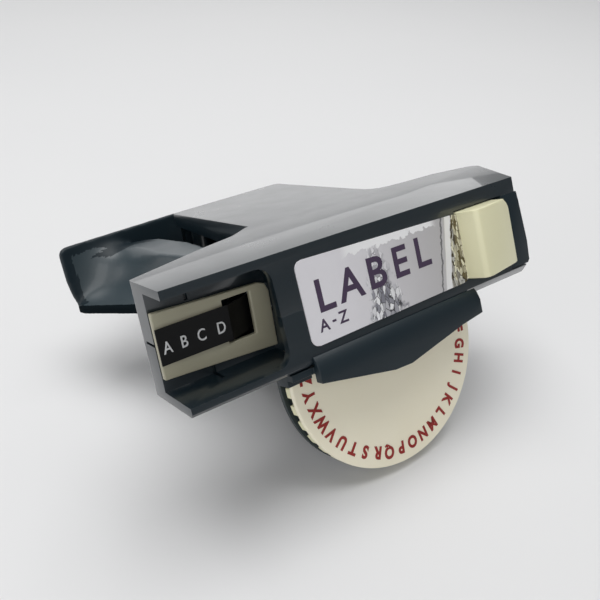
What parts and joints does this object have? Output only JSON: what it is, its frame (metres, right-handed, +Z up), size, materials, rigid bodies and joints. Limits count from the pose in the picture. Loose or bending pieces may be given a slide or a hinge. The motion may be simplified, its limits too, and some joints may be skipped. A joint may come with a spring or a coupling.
{
  "type": "hand-held embossing label maker",
  "caption": "Squeeze-lever embossing label maker with a turning character dial, tape window and cutter button, lying on its side.",
  "frame": {"origin": "middle of the bounding box on the table the machine rests on", "axes": "+X along the head toward the cutter button, +Y back toward the handle, +Z up; the label face looks toward -Y"},
  "size_m": [0.1318, 0.1116, 0.0713],
  "materials": {
    "case_plastic": "satin",
    "cream_plastic": "satin",
    "dark_plastic": "matte",
    "tape_black": "gloss",
    "steel": "satin",
    "foil": "satin",
    "rubber": "matte"
  },
  "bodies": {
    "case": {"upper_shell": "case_plastic", "lower_shell": "case_plastic", "dial_guard": "case_plastic", "button_bezel": "case_plastic", "face_label": "foil", "tape_guide": "cream_plastic", "cut_label": "tape_black", "tape_strip": "tape_black", "roll_post": "steel", "chassis_plate": "steel", "feed_pin": "steel", "idler_pin": "steel", "guide_post": "steel", "dial_axle": "steel", "dial_bracket": "case_plastic", "dial_detent": "steel", "anvil_block": "steel", "press_pin": "steel", "trigger_pin": "steel", "trigger_spring": "steel", "button_spring": "steel", "case_screws": "steel"},
    "dial": {"dial_face": "cream_plastic", "dial_fingers": "cream_plastic", "dial_back": "dark_plastic"},
    "press": {"press_arm": "steel", "feed_pawl": "steel"},
    "trigger": {"trigger_lever": "case_plastic"},
    "cutter": {"cutter_button": "cream_plastic", "cutter_bar": "steel", "cutter_blade": "steel"},
    "feed": {"feed_wheel": "rubber", "ratchet_wheel": "cream_plastic"},
    "roll": {"tape_roll": "tape_black", "roll_core": "cream_plastic"},
    "idler": {"idler_roller": "cream_plastic"}
  },
  "joints": [
    {"name": "dial_spin", "type": "hinge", "parent": "case", "child": "dial", "pos_m": [-0.0015, -0.03893, 0.03166], "axis": [0, 0.9003, -0.4352], "continuous": true},
    {"name": "trigger_squeeze", "type": "hinge", "parent": "case", "child": "trigger", "pos_m": [-0.016, -0.00919, 0.04779], "axis": [0, -0.309, -0.9511], "range_deg": [0, 8], "stiffness_Nm_per_rad": 1.5, "springref_deg": -6.88, "deforming": ["trigger_spring"]},
    {"name": "press_swing", "type": "hinge", "parent": "case", "child": "press", "pos_m": [0.0155, -0.01299, 0.04902], "axis": [0, 0.309, 0.9511], "range_deg": [0, 3.2]},
    {"name": "feed_spin", "type": "hinge", "parent": "case", "child": "feed", "pos_m": [0.033, -0.0207, 0.05153], "axis": [0, 0.309, 0.9511], "continuous": true},
    {"name": "roll_spin", "type": "hinge", "parent": "case", "child": "roll", "pos_m": [0.0027, 0.02124, 0.0379], "axis": [0, 0.309, 0.9511], "continuous": true},
    {"name": "idler_spin", "type": "hinge", "parent": "case", "child": "idler", "pos_m": [0.033, -0.02897, 0.05421], "axis": [0, 0.309, 0.9511], "continuous": true},
    {"name": "cutter_push", "type": "slide", "parent": "case", "child": "cutter", "axis": [0, 0.9003, -0.4352], "range_m": [0, 0.0032], "stiffness_N_per_m": 900, "springref_m": -0.002, "deforming": ["button_spring"]}
  ],
  "couplings": [
    {"joint": "press_swing", "follows": "trigger_squeeze", "ratio": 0.38},
    {"joint": "roll_spin", "follows": "feed_spin", "ratio": 0.293},
    {"joint": "idler_spin", "follows": "feed_spin", "ratio": -2.077}
  ]
}
